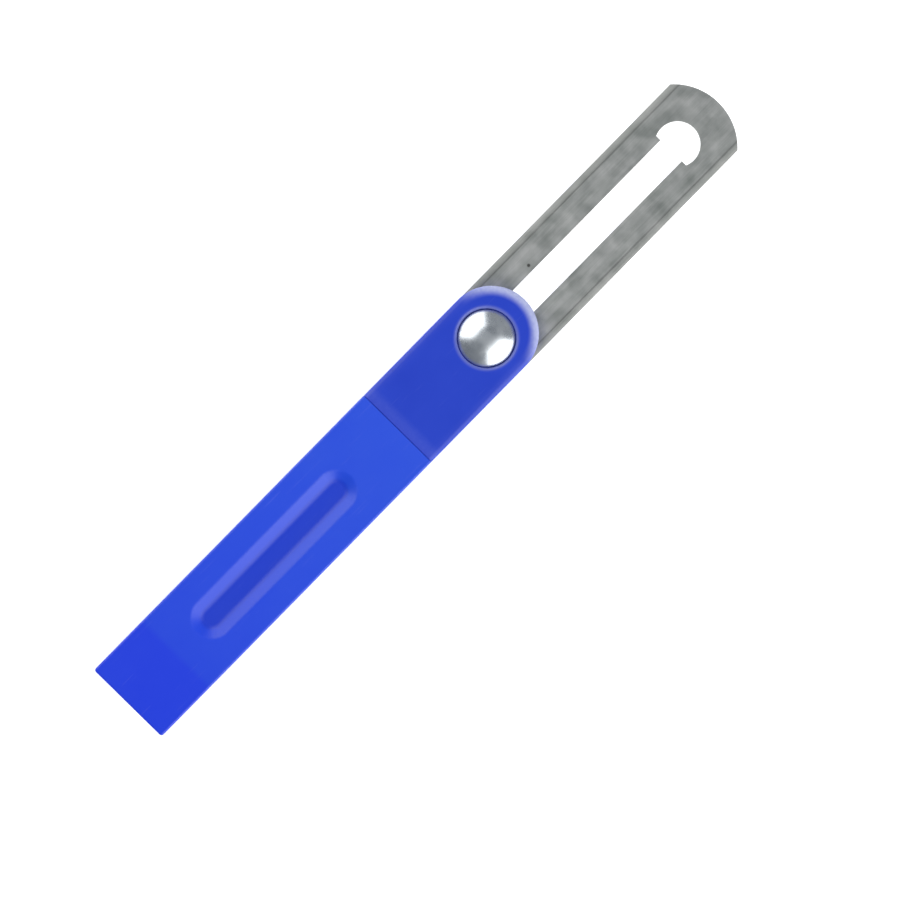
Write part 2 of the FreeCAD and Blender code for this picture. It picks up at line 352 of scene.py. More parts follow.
# %% [markdown]
# ## The two halves of the handle
#
# Each half is a square grip with a narrower spigot in front, which the nose cap covers.
# The halves meet over a solid block at the butt. In front of it a thin slot is left for
# the blade. Real mouldings have no sharp outer edge, so the rim is bevelled before
# anything is cut.

# %% Handle half
def handle_half(name):
    """The head-side half, without its holes."""
    grip = block(name, (butt_x, -half_width, mid_z), (step_x, half_width, grip_top))
    open_with(grip, "EDGE", lambda e: (
        same(middle(e).x, butt_x) and same(abs(middle(e).y), half_width)))
    bpy.ops.mesh.bevel(offset=BUTT_CORNER, segments=5)
    close()
    open_with(grip, "EDGE", lambda e: (
        same(middle(e).z, grip_top) and middle(e).x < step_x - 0.01 * MM))
    bpy.ops.mesh.bevel(offset=GRIP_EDGE, segments=4)
    close()
    open_with(grip, "EDGE", lambda e: (
        same(middle(e).x, step_x) and middle(e).z > mid_z + 0.1 * MM))
    bpy.ops.mesh.bevel(offset=GRIP_SEAM_EDGE, segments=2)
    close()
    weld(grip, bullet("spigot", CAP_SKIN, step_x - BEYOND / 2, mid_z, spigot_top))
    slot_low = (butt_x + BUTT_BLOCK, -2 * half_width, mid_z - BEYOND)
    cut(grip, block("slot_cutter", slot_low, (nose_x + BEYOND, 2 * half_width, slot_top)))
    return cut(grip, recess_cutter("recess", grip_top))


front_grip = handle_half("front_grip")
cut(front_grip, rod("bearing_cutter", SHOULDER_RADIUS + 0.08 * MM, mid_z - BEYOND, grip_top))
smooth(clean(front_grip))
print("front grip:", len(front_grip.data.polygons), "faces")

# %% [markdown]
# The back half is the same moulding turned over, with a smaller hole for the bolt's shank
# and two countersunk holes for the butt screws.

# %% Back half
back_face = mid_z - (grip_top - mid_z)
screw_x = (screws_low.x + screws_high.x) / 2
screw_y = screws_high.y - SCREW_HEAD_RADIUS


def countersink_cutter(y):
    """A screw hole with its countersink, as a solid to cut with."""
    room, mouth = 0.15 * MM, 0.2 * MM
    wide = SCREW_HEAD_RADIUS + room
    narrow = SCREW_RADIUS + room
    profile = [
        (0, back_face - BEYOND), (wide + mouth, back_face - BEYOND),
        (wide + mouth, back_face), (wide, back_face + room), (wide, screws_low.z),
        (narrow, screws_low.z + wide - narrow), (narrow, mid_z + BEYOND), (0, mid_z + BEYOND),
    ]
    return lathe("countersink", profile, x=screw_x, y=y, steps=48)


back_grip = flip_to_back(handle_half("back_grip"))
cut(back_grip, rod("shank_cutter", SHANK_RADIUS + 0.15 * MM, back_face, mid_z + BEYOND))
for screw_side in (-1, 1):
    cut(back_grip, countersink_cutter(screw_side * screw_y))
smooth(clean(back_grip))
print("back grip:", len(back_grip.data.polygons), "faces")

# %% [markdown]
# ## The nose caps
#
# A cap is a thin skin over the spigot. Its outer edge has a generous rounding, which takes
# a long pale highlight, and it opens in a round dish about the bolt's head. The dish's rim
# is rolled over, so the cutter for it flares at the top.

# %% Nose cap
def nose_cap(name):
    """The head-side cap."""
    cap = bullet(name, 0.0, step_x, slot_top, cap_top)
    open_with(cap, "EDGE", lambda e: (
        same(middle(e).z, cap_top) and middle(e).x > step_x + 0.01 * MM))
    bpy.ops.mesh.bevel(offset=CAP_EDGE, segments=8)
    close()
    open_with(cap, "EDGE", lambda e: (
        same(middle(e).x, step_x) and middle(e).z > slot_top + 0.1 * MM))
    bpy.ops.mesh.bevel(offset=CAP_SEAM_EDGE, segments=3)
    close()
    cut(cap, bullet("hollow", CAP_SKIN, step_x - BEYOND, slot_top - BEYOND, spigot_top))
    flare = arc((DISH_RADIUS + DISH_ROLL, cap_top - DISH_ROLL), DISH_ROLL, 180, 92, 6)
    return cut(cap, lathe("dish", [
        (0, spigot_top - BEYOND), (DISH_RADIUS, spigot_top - BEYOND), *flare,
        (DISH_RADIUS + DISH_ROLL, cap_top + BEYOND), (0, cap_top + BEYOND),
    ]))


front_cap = smooth(clean(nose_cap("front_cap")), 35)
back_cap = smooth(flip_to_back(nose_cap("back_cap")), 35)
print("nose cap:", len(front_cap.data.polygons), "faces")

# %% [markdown]
# ## The blade
#
# The blade starts as a plain bar, narrower than the finished one. Its two long sides are
# extruded out and pinched thinner, which makes the shallow ground bevels. Then the tip is
# rounded, the tail is sliced at 45 degrees, and the slot and keyhole are cut. Last, every
# edge is broken with a very small bevel, as a deburring wheel leaves it.

# %% Blade blank
blade_half = blade_high.y
flat_half = blade_half - BEVEL_WIDTH
blade = block("steel_blade", (tail_x, -flat_half, blade_low.z), (tip_x, flat_half, blade_high.z))
thin = 1 - 2 * BEVEL_DEPTH / (blade_high.z - blade_low.z)
for side in (-1, 1):
    open_with(blade, "FACE", lambda f: f.normal.y * side > 0.9)
    bpy.ops.mesh.extrude_region_move(TRANSFORM_OT_translate={"value": (0, side * BEVEL_WIDTH, 0)})
    bpy.ops.transform.resize(value=(1, 1, thin), center_override=(0, 0, mid_z))
    close()

# %% Tip, tail, slot and keyhole
tip_waste = block("tip_waste", (tip_x - TIP_RADIUS / 2, -2 * blade_half, mid_z - BEYOND),
                  (tip_x + BEYOND, 2 * blade_half, mid_z + BEYOND))
cut(tip_waste, rod("tip_round", TIP_RADIUS, mid_z - 2 * BEYOND, mid_z + 2 * BEYOND,
                   x=tip_x - TIP_RADIUS, steps=2 * ROUND))
cut(blade, tip_waste)
slice_off(blade, (tail_x, blade_half, 0), (-1, -1, 0))

inner_x = pivot_x - SLOT_BEHIND_PIVOT + SLOT_HALF
keyhole = rod("keyhole", KEYHOLE_RADIUS, mid_z - BEYOND, mid_z + BEYOND, x=KEYHOLE_X)
cut(keyhole, block("shoulder_waste",
                   (KEYHOLE_X - 2 * KEYHOLE_RADIUS, -2 * KEYHOLE_RADIUS, mid_z - 2 * BEYOND),
                   (KEYHOLE_X - KEYHOLE_SHOULDER, 2 * KEYHOLE_RADIUS, mid_z + 2 * BEYOND)))
cut(blade, keyhole)
cut(blade, block("track", (inner_x, -SLOT_HALF, mid_z - BEYOND),
                 (KEYHOLE_X, SLOT_HALF, mid_z + BEYOND)))
cut(blade, rod("track_end", SLOT_HALF, mid_z - BEYOND, mid_z + BEYOND, x=inner_x, steps=48))
clean(blade)
modify(blade, "BEVEL", width=DEBURR, segments=2, limit_method="ANGLE",
       angle_limit=math.radians(25))
smooth(clean(blade), 30)
print("blade:", len(blade.data.polygons), "faces")

# %% [markdown]
# ## Threads
#
# A thread is one tooth that climbs as it goes round. The Screw modifier does exactly that:
# it sweeps a small V along a helix. The V is as wide as one turn climbs, so each turn
# closes against the next at its root. The ends are sliced flat and filled afterwards.

# %% Thread
THREAD_STEPS = 32


def thread(name, radius, pitch, depth, z_low, z_high, x, y=0.0):
    """A V thread with a solid middle, cut off square at both ends."""
    root = radius - depth
    crest_low, crest_high = pitch * 0.42, pitch * 0.58
    piece = outline(name, [(x + root, y, 0), (x + radius, y, crest_low),
                           (x + radius, y, crest_high), (x + root, y, pitch)])
    turns = math.ceil((z_high - z_low) / pitch) + 2
    bpy.ops.object.empty_add(location=(x, y, 0))
    axis = bpy.context.object
    modify(piece, "SCREW", axis="Z", object=axis, angle=math.tau, screw_offset=pitch,
           iterations=turns, steps=THREAD_STEPS, render_steps=THREAD_STEPS,
           use_merge_vertices=True)
    bpy.data.objects.remove(axis)
    open_with(piece, "VERT", lambda v: True)
    bpy.ops.mesh.remove_doubles(threshold=0.001 * MM)
    bpy.ops.transform.translate(value=(0, 0, z_low - 1.5 * pitch))
    close()
    slice_off(piece, (0, 0, z_low), (0, 0, -1))
    return clean(slice_off(piece, (0, 0, z_high), (0, 0, 1)))


# %% [markdown]
# ## The pivot bolt
#
# The head is a low dome over a short straight rim. Its section is an arc from the crown to
# the rim, then a tiny rounding, then the flat seat and the shoulder that turns in the
# handle. Two flats keep the blade in line, and the shank is threaded for the wing nut.

# %% Pivot bolt
FLAT_PLAY = 0.15 * MM         # between a flat and the side of the blade's slot
head_rim = 0.6 * MM
rim_round, rim_drop = 0.25 * MM, 0.05 * MM
rim_centre = (head_radius - rim_round, spigot_top + head_rim - rim_drop)
crown = bolt_high.z - spigot_top - head_rim
ball = (head_radius ** 2 + crown ** 2) / (2 * crown)
edge_angle = math.degrees(math.asin(head_radius / ball))
dome = arc((0, bolt_high.z - ball), ball, 90, 90 - edge_angle + 2, 24)
neck_z = 2 * mid_z - slot_top
bolt = lathe("dome_bolt", [
    *dome, *arc(rim_centre, rim_round, 40, 0, 4),
    (head_radius, spigot_top + BROKEN_EDGE), (head_radius - BROKEN_EDGE, spigot_top),
    (SHOULDER_RADIUS, spigot_top), (SHOULDER_RADIUS, neck_z + BROKEN_EDGE),
    (SHOULDER_RADIUS - BROKEN_EDGE, neck_z), (0, neck_z),
])
for side in (-1, 1):
    near_y, far_y = sorted((side * (SLOT_HALF - FLAT_PLAY), side * 2 * SHOULDER_RADIUS))
    cut(bolt, block("flat", (pivot_x - BEYOND * 2, near_y, neck_z - BEYOND),
                    (pivot_x + BEYOND * 2, far_y, slot_top)))
clean(bolt)
plain_z = washer_high.z + THREAD_PITCH
sunk = THREAD_PITCH / 2
weld(bolt, rod("plain_shank", SHANK_RADIUS, plain_z - sunk, neck_z + sunk, steps=64))
bolt_thread = thread("bolt_thread", SHANK_RADIUS, THREAD_PITCH, 0.55 * MM,
                     bolt_low.z, plain_z, pivot_x)
smooth(clean(bolt), 40)
smooth(bolt_thread, 40)
print("bolt:", len(bolt.data.polygons), "faces")

# %% [markdown]
# ## The washer
#
# A stamped washer has one edge rolled by the punch and one left a little sharper, so its
# section is a rectangle with a large and a small corner.

# %% Washer
washer_radius = washer_high.x - pivot_x
washer_bore = SHANK_RADIUS + 0.2 * MM
punched = 0.3 * MM
washer = lathe("flat_washer", [
    (washer_bore, washer_low.z + BROKEN_EDGE), (washer_bore + BROKEN_EDGE, washer_low.z),
    *arc((washer_radius - punched, washer_low.z + punched), punched, -90, 0, 4),
    (washer_radius, washer_high.z - BROKEN_EDGE), (washer_radius - BROKEN_EDGE, washer_high.z),
    (washer_bore + BROKEN_EDGE, washer_high.z), (washer_bore, washer_high.z - BROKEN_EDGE),
    (washer_bore, washer_low.z + BROKEN_EDGE),
], steps=96)
smooth(washer, 40)

# %% [markdown]
# ## The wing nut
#
# The nut is a zinc casting: a tapered hub with two ears, and soft fillets where they meet.
# An ear is pulled out of a small block, turned a little at each pull, and rounded by
# subdivision. Then hub and ears are remeshed as one skin, which melts the joints into
# fillets, as a casting has. The bore and the bearing face are machined, so they are cut
# after that and stay sharp.

# %% Ears
EAR_THICKNESS = 2.5 * MM
EAR_ROOT = (2.2 * MM, 7.9 * MM)        # how far out and how high the first section is
EAR_PULLS = [                          # out, up, turn in degrees, how much taller
    (2.4 * MM, -0.4 * MM, 16, 0.92),
    (2.5 * MM, -1.7 * MM, 22, 1.05),
    (2.2 * MM, -2.9 * MM, 20, 1.15),
    (0.95 * MM, -3.0 * MM, 10, 0.85),
]


def nut_ear(name, side):
    """One ear, pulled out in steps from a block inside the hub."""
    out, up = EAR_ROOT
    start = Vector((pivot_x, out, up))
    half = Vector((EAR_THICKNESS / 2, 1.0 * MM, 2.3 * MM))
    piece = block(name, start - half, start + half)
    open_with(piece, "FACE", lambda f: f.normal.y > 0.9)
    at = start + Vector((0, half.y, 0))
    for out, up, turn, taller in EAR_PULLS:
        move = Vector((0, out, up))
        at = at + move
        bpy.ops.mesh.extrude_region_move(TRANSFORM_OT_translate={"value": move})
        bpy.ops.transform.rotate(value=math.radians(turn), orient_axis="X", center_override=at)
        bpy.ops.transform.resize(value=(1, taller, taller), center_override=at)
    close()
    if side < 0:
        open_with(piece, "VERT", lambda v: True)
        bpy.ops.transform.resize(value=(1, -1, 1), center_override=(0, 0, 0))
        close()
    clean(piece)
    return modify(piece, "SUBSURF", levels=3, render_levels=3)


# %% Wing nut
HUB_HEIGHT = 6.5 * MM
HUB_FLANGE = 6.0 * MM         # radii, from the bearing face to the outer end
HUB_WAIST = 5.4 * MM
HUB_SHOULDER = 5.0 * MM
HUB_END = 4.4 * MM
CASTING_EXTRA = 0.6 * MM      # metal left on the bearing face, to be machined off
seat_z = nut_high.z
hub_end_z = seat_z - HUB_HEIGHT
wing_nut = lathe("cast_wing_nut", [
    (0, hub_end_z), (HUB_END, hub_end_z), (HUB_SHOULDER, hub_end_z + 0.5 * MM),
    (HUB_WAIST, seat_z - 2.4 * MM), (HUB_FLANGE, seat_z - 1.6 * MM),
    (HUB_FLANGE, seat_z + CASTING_EXTRA), (0, seat_z + CASTING_EXTRA),
], steps=64)
ears = [nut_ear("ear", side) for side in (-1, 1)]
take(wing_nut)
for ear in ears:
    ear.select_set(True)
bpy.ops.object.join()
modify(wing_nut, "REMESH", mode="VOXEL", voxel_size=0.2 * MM)
modify(wing_nut, "SMOOTH", factor=0.5, iterations=8)
slice_off(wing_nut, (0, 0, seat_z), (0, 0, 1))
slice_off(wing_nut, (0, 0, nut_low.z), (0, 0, -1))
bore = SHANK_RADIUS + 0.05 * MM
mouth = 0.5 * MM
cut(wing_nut, lathe("bore", [
    (0, hub_end_z - BEYOND), (bore + mouth, hub_end_z - BEYOND),
    (bore + mouth, hub_end_z - BROKEN_EDGE), (bore, hub_end_z + mouth),
    (bore, seat_z - mouth), (bore + mouth, seat_z + BROKEN_EDGE),
    (bore + mouth, seat_z + BEYOND), (0, seat_z + BEYOND),
], steps=64))
smooth(clean(wing_nut), 38)
ear_reach = max(v.co.y for v in wing_nut.data.vertices)
print(f"wing nut: {len(wing_nut.data.polygons)} faces, {2 * ear_reach / MM:.1f} mm across")

# %% [markdown]
# ## The butt screws
#
# Two countersunk screws hold the halves together. The head has a cross recess. Its cutter
# is two crossed bars that are pinched at the inner end, so that the recess tapers.

# %% Butt screws
def butt_screw(name, y):
    """A countersunk screw with a cross recess, head down, with a plain core for its thread."""
    head_z = screws_low.z
    core = SCREW_RADIUS * 0.7
    neck_low = head_z + SCREW_HEAD_RADIUS - SCREW_RADIUS
    neck_high = neck_low + 2.0 * MM
    screw = lathe(name, [
        (0, head_z), (SCREW_HEAD_RADIUS - 0.15 * MM, head_z),
        (SCREW_HEAD_RADIUS, head_z + 0.12 * MM), (SCREW_RADIUS, neck_low),
        (SCREW_RADIUS, neck_high), (core, neck_high + 0.4 * MM),
        (core, screws_high.z - 1.6 * MM), (0, screws_high.z),
    ], x=screw_x, y=y, steps=48)
    arm, bar, deep = 1.5 * MM, 0.38 * MM, 1.7 * MM
    cross = block("cross", (screw_x - arm, y - bar, head_z - deep),
                  (screw_x + arm, y + bar, head_z + deep))
    weld(cross, block("cross_bar", (screw_x - bar, y - arm, head_z - deep),
                      (screw_x + bar, y + arm, head_z + deep)))
    open_with(cross, "VERT", lambda v: v.co.z > head_z)
    bpy.ops.transform.resize(value=(0.35, 0.35, 1), center_override=(screw_x, y, head_z))
    close()
    cut(screw, cross)
    return smooth(clean(screw), 30)


butt_screws = []
for number, y in ((1, -screw_y), (2, screw_y)):
    butt_screws.append(butt_screw(f"butt_screw_{number}", y))
for number, y in ((1, -screw_y), (2, screw_y)):
    screw_thread = thread(
        f"screw_thread_{number}", SCREW_RADIUS, SCREW_PITCH, 0.42 * MM,
        screws_low.z + 3.8 * MM, screws_high.z - 1.8 * MM, screw_x, y)
    butt_screws.append(smooth(screw_thread, 40))
print("butt screws:", len(butt_screws), "pieces")

# %% [markdown]
# ## Which body each piece rides on
#
# The CAD model's bodies carry the new pieces. Each new piece names the CAD piece that it
# stands for, which is then hidden.

# %% Riding
PLACES = [
    (front_grip, "handle", "front_half", "grip_plastic"),
    (back_grip, "handle", "back_half", "grip_plastic"),
    (front_cap, "handle", "front_nose_cap", "nose_plastic"),
    (back_cap, "handle", "back_nose_cap", "nose_plastic"),
    *[(screw, "handle", "butt_screws", "screw_steel") for screw in butt_screws],
    (blade, "blade", "blade", "blade_steel"),
    (bolt, "pivot", "pivot_bolt", "bright_zinc"),
    (bolt_thread, "pivot", "pivot_bolt", "bright_zinc"),
    (washer, "nut_washer", "washer", "bright_zinc"),
    (wing_nut, "wing_nut", "wing_nut", "cast_zinc"),
]
for piece, body, node, slot in PLACES:
    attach(piece, body)
    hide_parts(node)

# %% [markdown]
# ## Shader maths
#
# A finish is built from nodes. Writing each Math node by hand hides the idea, so a small
# class wraps a node's output and gives it Python's operators. Every other node comes from
# one method, which sets the node's options first and then its inputs.

# %% Values and finishes
class Value:
    """One output of a node. Arithmetic on it adds Math nodes."""

    def __init__(self, finish, socket):
        self.finish = finish
        self.socket = socket

    def math(self, operation, *others):
        """A Math node whose first input is this value."""
        return self.finish.math(operation, self, *others)

    def __add__(self, other):
        return self.math("ADD", other)

    def __sub__(self, other):
        return self.math("SUBTRACT", other)

    def __rsub__(self, other):
        return self.finish.math("SUBTRACT", other, self)

    def __mul__(self, other):
        return self.math("MULTIPLY", other)

    def __abs__(self):
        return self.math("ABSOLUTE")

    __radd__ = __add__
    __rmul__ = __mul__

    def ramp(self, low, high):
        """0 below low, 1 above high, and a soft rise between. Low may be above high."""
        settings = {"interpolation_type": "SMOOTHSTEP"}
        if low > high:
            return 1 - self.ramp(high, low)
        return self.finish.node("ShaderNodeMapRange", settings, {0: self, 1: low, 2: high})


class Finish:
    """A material with one Principled shader, whose nodes are added one call at a time."""

    def __init__(self, name):
        self.material = bpy.data.materials.new(name)
        self.material.use_nodes = True
        self.tree = self.material.node_tree
        self.shader = self.tree.nodes["Principled BSDF"]
        self.place = self.node("ShaderNodeTexCoord", output="Object")
        self.x, self.y, self.z = (
            self.node("ShaderNodeSeparateXYZ", inputs=[self.place], output=i) for i in range(3))

    def node(self, kind, settings=None, inputs=(), output=0):
        """Add a node: its options first, then its inputs, by order or by name."""
        node = self.tree.nodes.new(kind)
        for option, value in (settings or {}).items():
            setattr(node, option, value)
        pairs = inputs.items() if isinstance(inputs, dict) else enumerate(inputs)
        for key, value in pairs:
            self.feed(node.inputs[key], value)
        return Value(self, node.outputs[output])

    def math(self, operation, *operands):
        """A Math node."""
        return self.node("ShaderNodeMath", {"operation": operation}, operands)

    def feed(self, socket, value):
        """Link a value to a socket, or set the socket's own number or colour."""
        if isinstance(value, Value):
            self.tree.links.new(value.socket, socket)
        else:
            socket.default_value = value

    def shade(self, name, value):
        """Link or set one input of the shader."""
        self.feed(self.shader.inputs[name], value)

    def noise(self, size, stretch=(1, 1, 1), detail=3.0, shift=0.0):
        """Soft noise from 0 to 1, with features about as large as size in metres."""
        spread = tuple(1 / (size * s) for s in stretch)
        at = self.node("ShaderNodeVectorMath", {"operation": "MULTIPLY_ADD"},
                       (self.place, spread, (shift, shift, shift)))
        return self.node("ShaderNodeTexNoise", inputs={"Vector": at, "Scale": 1.0, "Detail": detail})

    def mix(self, share, first, second):
        """A colour between two others."""
        inputs = {0: share, 6: first, 7: second}
        return self.node("ShaderNodeMix", {"data_type": "RGBA"}, inputs, output=2)

    def bump(self, height, depth):
        """Turn a 0 to 1 height into a surface that deep, in metres."""
        inputs = {"Strength": 1.0, "Distance": depth, "Height": height}
        self.shade("Normal", self.node("ShaderNodeBump", inputs=inputs, output="Normal"))

    def dress(self, piece):
        """Give the finish to a piece, in place of any other."""
        piece.data.materials.clear()
        piece.data.materials.append(self.material)


def paint(red, green, blue):
    """A colour as it looks on a screen, from 0 to 255, made linear for a shader."""
    def linear(c):
        c = c / 255
        return c / 12.92 if c <= 0.04045 else ((c + 0.055) / 1.055) ** 2.4
    return (linear(red), linear(green), linear(blue), 1.0)


# %% [markdown]
# ## Blue plastic
#
# The grip is injection-moulded plastic, dyed through. The mould's face is spark-eroded, so
# the plastic has a fine even grain. Over the blade slot its blue is a little lighter than at
# the solid butt, and a darker blue is painted in the thumb recess as shade. Handling has worn
# the outer edges and left a few fine scratches. The nose cap is a smoother and darker
# moulding. It is paler at the seam. Round the bolt and along its rounded end a pale highlight
# is painted, and the rounded end is also scuffed dull.
#
# Each plastic has its own function for colour. It also returns how polished the surface is:
# above 0 is glossier than the moulding, and below 0 is scuffed duller.

# %% Distances
def distance(x, y):
    """The length of a step of x by y."""
    return (x * x + y * y).math("SQRT")


def from_outline(finish):
    """How far a point of the nose is inside its bullet outline, in metres."""
    ahead = (finish.x - (nose_x - half_width)).math("MAXIMUM", 0)
    return half_width - distance(ahead, finish.y)


# %% Moulded plastic
PALE = paint(150, 160, 226)      # the same plastic where it is scratched


def moulded_plastic(name, roughness, grain_depth, colour_of):
    """Dyed plastic with a fine grain, clouded gloss and light scratches."""
    finish = Finish(name)
    clouds = finish.noise(14 * MM)
    flecks = finish.noise(0.9 * MM, detail=4.0)
    scratches = finish.noise(0.35 * MM, stretch=(40, 1, 1), shift=3.0).ramp(0.66, 0.74)
    colour, polish = colour_of(finish, clouds, flecks)
    colour = finish.mix(scratches * 0.06, colour, PALE)
    finish.shade("Base Color", colour)
    finish.shade("Roughness", roughness + (flecks - 0.5) * 0.05 + (clouds - 0.5) * 0.10
                 - polish * 0.14)
    grain = finish.noise(0.22 * MM, detail=2.0) * (1 - polish * 0.9)
    finish.bump(grain - scratches * 0.5, grain_depth)
    return finish


# %% Colours of the grip and the nose
def grip_colour(finish, clouds, flecks):
    """Deep blue at the solid butt, lighter over the slot, and a darker blue painted in the recess as
    shade.
    """
    slot_floor = butt_x + BUTT_BLOCK
    over_slot = finish.x.ramp(slot_floor - 1.2 * MM, slot_floor + 1.2 * MM)
    along = finish.x.ramp(slot_floor, step_x + 8 * MM)
    share = over_slot * 0.5 + along * 0.5 + (clouds - 0.5) * 0.35
    colour = finish.mix(share, paint(2, 50, 209), paint(24, 71, 207))
    depth = grip_top - mid_z - abs(finish.z - mid_z)
    across = abs(finish.y)
    inside = across.ramp(6.2 * MM, 5.4 * MM) * finish.x.ramp(RECESS_START - 0.5 * MM, RECESS_START)
    recess = inside * depth.ramp(1.1 * MM, 1.75 * MM)
    # painted shade: inside the recess the blue is mixed towards a darker blue
    colour = finish.mix(recess * 0.7, colour, paint(0, 46, 188))
    edge = (half_width - across).math("MAXIMUM", depth).ramp(0.7 * MM, 0.1 * MM)
    wear_and_highlight = edge * flecks.ramp(0.40, 0.62)
    return finish.mix(wear_and_highlight * 0.12, colour, PALE), recess * 0.1


def nose_colour(finish, clouds, flecks):
    """A deeper blue, paler at the seam, with painted highlights round the bolt and on the scuffed
    rounded end.
    """
    colour = finish.mix(clouds, paint(14, 51, 179), paint(27, 61, 190))
    from_bolt = distance(finish.x - pivot_x, finish.y)
    dish = from_bolt.ramp(DISH_RADIUS + 1.3 * MM, DISH_RADIUS)
    # painted highlight: a pale lavender ring round the bolt, which also paints out the shade in the
    # gap beside the head
    colour = finish.mix(dish * 0.6, colour, paint(126, 134, 190))
    seam = (finish.x - step_x).ramp(4.4 * MM, 1.6 * MM)
    colour = finish.mix(seam * (0.03 + flecks * 0.07), colour, PALE)
    to_end = finish.x.ramp(step_x + 8 * MM, pivot_x + 6 * MM)
    end = (finish.x - pivot_x).ramp(1 * MM, 12 * MM)
    near_side = finish.y.ramp(4 * MM, -6 * MM)
    half_thick = cap_top - mid_z
    face = abs(finish.z - mid_z).ramp(half_thick - 2.6 * MM, half_thick - 1.2 * MM)
    rim = from_outline(finish).ramp(3.1 * MM, 0.5 * MM) * face
    # painted highlight: the rounded rim, most at the end and a little on the near side, is mixed
    # towards a near-white lavender
    rim_highlight = rim * to_end * end.math("MAXIMUM", near_side * 0.05)
    wear_and_highlight = rim_highlight * (0.7 + flecks * 0.5)
    return finish.mix(wear_and_highlight, colour, paint(176, 182, 218)), rim * -1.4


grip_finish = moulded_plastic("grip_plastic", 0.42, 0.018 * MM, grip_colour)
nose_finish = moulded_plastic("nose_plastic", 0.34, 0.006 * MM, nose_colour)

# %% [markdown]
# ## Ground steel
#
# The blade is plain steel strip. Rolling and grinding leave fine lines along its length,
# and storage leaves dull clouds. The ground bevels start at a darker line. Steel is a
# metal, so Base Color is the tint of its reflection, and the clouds change that tint and
# the roughness together.

# %% Blade finish
PIT_X, PIT_Y = 46.0 * MM, 5.7 * MM       # one rust pit beside the slot


def strip_steel(name):
    """Dull steel strip with lines along it, clouds, spots, and ground bevels painted darker as
    shade.
    """
    finish = Finish(name)
    lines = finish.noise(0.25 * MM, stretch=(60, 1, 1), detail=4.0)
    broad = finish.noise(1.6 * MM, stretch=(9, 1, 1), detail=3.0, shift=7.0)
    clouds = finish.noise(5.0 * MM, detail=5.0, shift=11.0)
    spots = finish.noise(1.1 * MM, detail=2.0, shift=5.0).ramp(0.72, 0.80)
    tone = (lines - 0.5) * 0.6 + (broad - 0.5) * 0.9 + (clouds - 0.5) * 1.2 + 0.5
    colour = finish.mix(tone, paint(150, 155, 149), paint(200, 200, 197))
    across = abs(finish.y)
    bevel_line = abs(across - flat_half).ramp(0.40 * MM, 0.05 * MM)
    on_bevel = across.ramp(flat_half + 0.1 * MM, flat_half + 0.4 * MM)
    # painted shade: the ground bevels are mixed towards a darker grey, which offsets their brighter
    # reflection
    colour = finish.mix(on_bevel * 0.4, colour, paint(138, 139, 135))
    colour = finish.mix(bevel_line * 0.5, colour, paint(104, 104, 100))
    colour = finish.mix(spots * 0.5, colour, paint(100, 96, 88))
    pit = distance(finish.x - PIT_X, finish.y - PIT_Y).ramp(0.65 * MM, 0.25 * MM)
    colour = finish.mix(pit * 0.8, colour, paint(52, 48, 44))
    finish.shade("Base Color", colour)
    finish.shade("Roughness", 0.42 + (clouds - 0.5) * 0.25 + (lines - 0.5) * 0.15
                 + on_bevel * 0.08)
    finish.shade("Metallic", 1.0)
    finish.bump(lines * 0.7 + clouds * 0.3 - spots * 0.4 - pit, 0.012 * MM)
    return finish


blade_finish = strip_steel("blade_steel")

# %% [markdown]
# ## Zinc plate
#
# The bolt and its washer are bright zinc: a smooth, slightly blue mirror with faint
# polishing swirls. The wing nut is a plated casting, so it is rougher and a little
# pitted. One function makes both, and the darker screws, from a different tint, grain and
# roughness.

# %% Zinc finishes
def zinc(name, dark, bright, roughness, grain_size, grain_depth):
    """Zinc plate over steel or a casting."""
    finish = Finish(name)
    clouds = finish.noise(3.5 * MM, detail=4.0)
    grain = finish.noise(grain_size, detail=3.0, shift=2.0)
    stains = finish.noise(1.4 * MM, detail=5.0, shift=9.0).ramp(0.60, 0.72)
    colour = finish.mix((clouds - 0.5) * 1.4 + 0.5, dark, bright)
    colour = finish.mix(stains * 0.35, colour, paint(150, 152, 148))
    finish.shade("Base Color", colour)
    finish.shade("Roughness", roughness + (clouds - 0.5) * 0.12 + stains * 0.12)
    finish.shade("Metallic", 1.0)
    finish.bump(grain, grain_depth)
    return finish


bright_finish = zinc(
    "bright_zinc", paint(184, 190, 196), paint(228, 232, 233), 0.28, 0.5 * MM, 0.004 * MM)
cast_finish = zinc(
    "cast_zinc", paint(168, 170, 170), paint(208, 210, 209), 0.36, 0.4 * MM, 0.03 * MM)
screw_finish = zinc(
    "screw_steel", paint(120, 122, 124), paint(172, 174, 176), 0.30, 0.3 * MM, 0.01 * MM)

# %% Dress the pieces
FINISHES = {
    "grip_plastic": grip_finish, "nose_plastic": nose_finish, "blade_steel": blade_finish,
    "bright_zinc": bright_finish, "cast_zinc": cast_finish, "screw_steel": screw_finish,
}
for piece, _, _, slot in PLACES:
    FINISHES[slot].dress(piece)
print("dressed", len(PLACES), "pieces")

# %% [markdown]
# ## Floor, light and camera
#
# The tool lies on a plain pale floor, which glows a little so that it stays white round the
# tool. Two soft boxes, one along each long side, light it evenly. The dome mirrors them as
# two bright fans, with darker gaps towards the butt and the blade, and the nose's rounded
# edge mirrors them as pale lines. The camera looks straight down through a long lens,
# turned so that the tool lies corner to corner.

